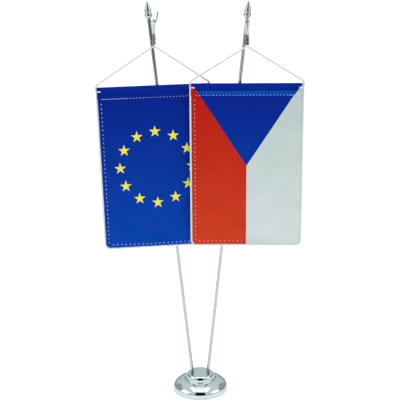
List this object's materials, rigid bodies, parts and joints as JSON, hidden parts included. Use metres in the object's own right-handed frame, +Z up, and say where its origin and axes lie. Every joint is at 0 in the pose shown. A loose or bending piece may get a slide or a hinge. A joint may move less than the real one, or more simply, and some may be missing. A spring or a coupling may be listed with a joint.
{
  "type": "desk flag stand",
  "caption": "Chrome desk flag stand: domed round foot, leaning poles with pointed finials and wire hooks, each holding a hanging satin table flag.",
  "frame": {"origin": "centre of the foot pad's underside, on the table", "axes": "+X from the left flag to the right flag, +Y from the flags to the poles behind them, +Z up"},
  "size_m": [0.2086, 0.0586, 0.4123],
  "materials": {
    "polished_chrome": "polished",
    "pole_chrome": "polished",
    "finial_chrome": "polished",
    "hook_wire": "satin",
    "ballast_steel": "machined",
    "ferrule_steel": "satin",
    "pad_felt": "felt",
    "white_cord": "twisted cord",
    "rod_plastic": "matt",
    "blue_satin": "satin",
    "red_white_satin": "satin"
  },
  "bodies": {
    "stand": {"base": "polished_chrome", "ballast": "ballast_steel", "ballast_screw": "ballast_steel", "foot_pad": "pad_felt"},
    "left_mast": {"left_pole": "pole_chrome", "left_finial": "finial_chrome", "left_hook": "hook_wire"},
    "left_hanger": {"left_hanging_loop": "white_cord", "left_ferrule": "ferrule_steel"},
    "left_flag": {"left_flag_cord": "white_cord", "left_flag_rod": "rod_plastic", "left_flag_cloth": "blue_satin"},
    "right_mast": {"right_pole": "pole_chrome", "right_finial": "finial_chrome", "right_hook": "hook_wire"},
    "right_hanger": {"right_hanging_loop": "white_cord", "right_ferrule": "ferrule_steel"},
    "right_flag": {"right_flag_cord": "white_cord", "right_flag_rod": "rod_plastic", "right_flag_cloth": "red_white_satin"}
  },
  "joints": [
    {"name": "left_pole_turn", "type": "hinge", "parent": "stand", "child": "left_mast", "pos_m": [-0.00835, 0, 0.019], "axis": [-0.1056, 0, 0.9944], "range_deg": [0, 90]},
    {"name": "left_loop_swing", "type": "hinge", "parent": "left_mast", "child": "left_hanger", "pos_m": [-0.04359, -0.0031, 0.39277], "axis": [0.0854, -0.9963, 0], "range_deg": [-0.5, 0.8]},
    {"name": "left_flag_sway", "type": "hinge", "parent": "left_hanger", "child": "left_flag", "pos_m": [-0.04359, -0.0031, 0.36907], "axis": [-0.0854, 0.9963, 0], "range_deg": [-1, 15]},
    {"name": "right_pole_turn", "type": "hinge", "parent": "stand", "child": "right_mast", "pos_m": [0.00835, 0, 0.019], "axis": [0.1056, 0, 0.9944], "range_deg": [0, 90]},
    {"name": "right_loop_swing", "type": "hinge", "parent": "right_mast", "child": "right_hanger", "pos_m": [0.04824, -0.00739, 0.39227], "axis": [-0.9998, 0.0175, 0], "range_deg": [0, 25]},
    {"name": "right_flag_sway", "type": "hinge", "parent": "right_hanger", "child": "right_flag", "pos_m": [0.04824, -0.00739, 0.36857], "axis": [-0.0175, -0.9998, 0], "range_deg": [-2.5, 15]}
  ]
}
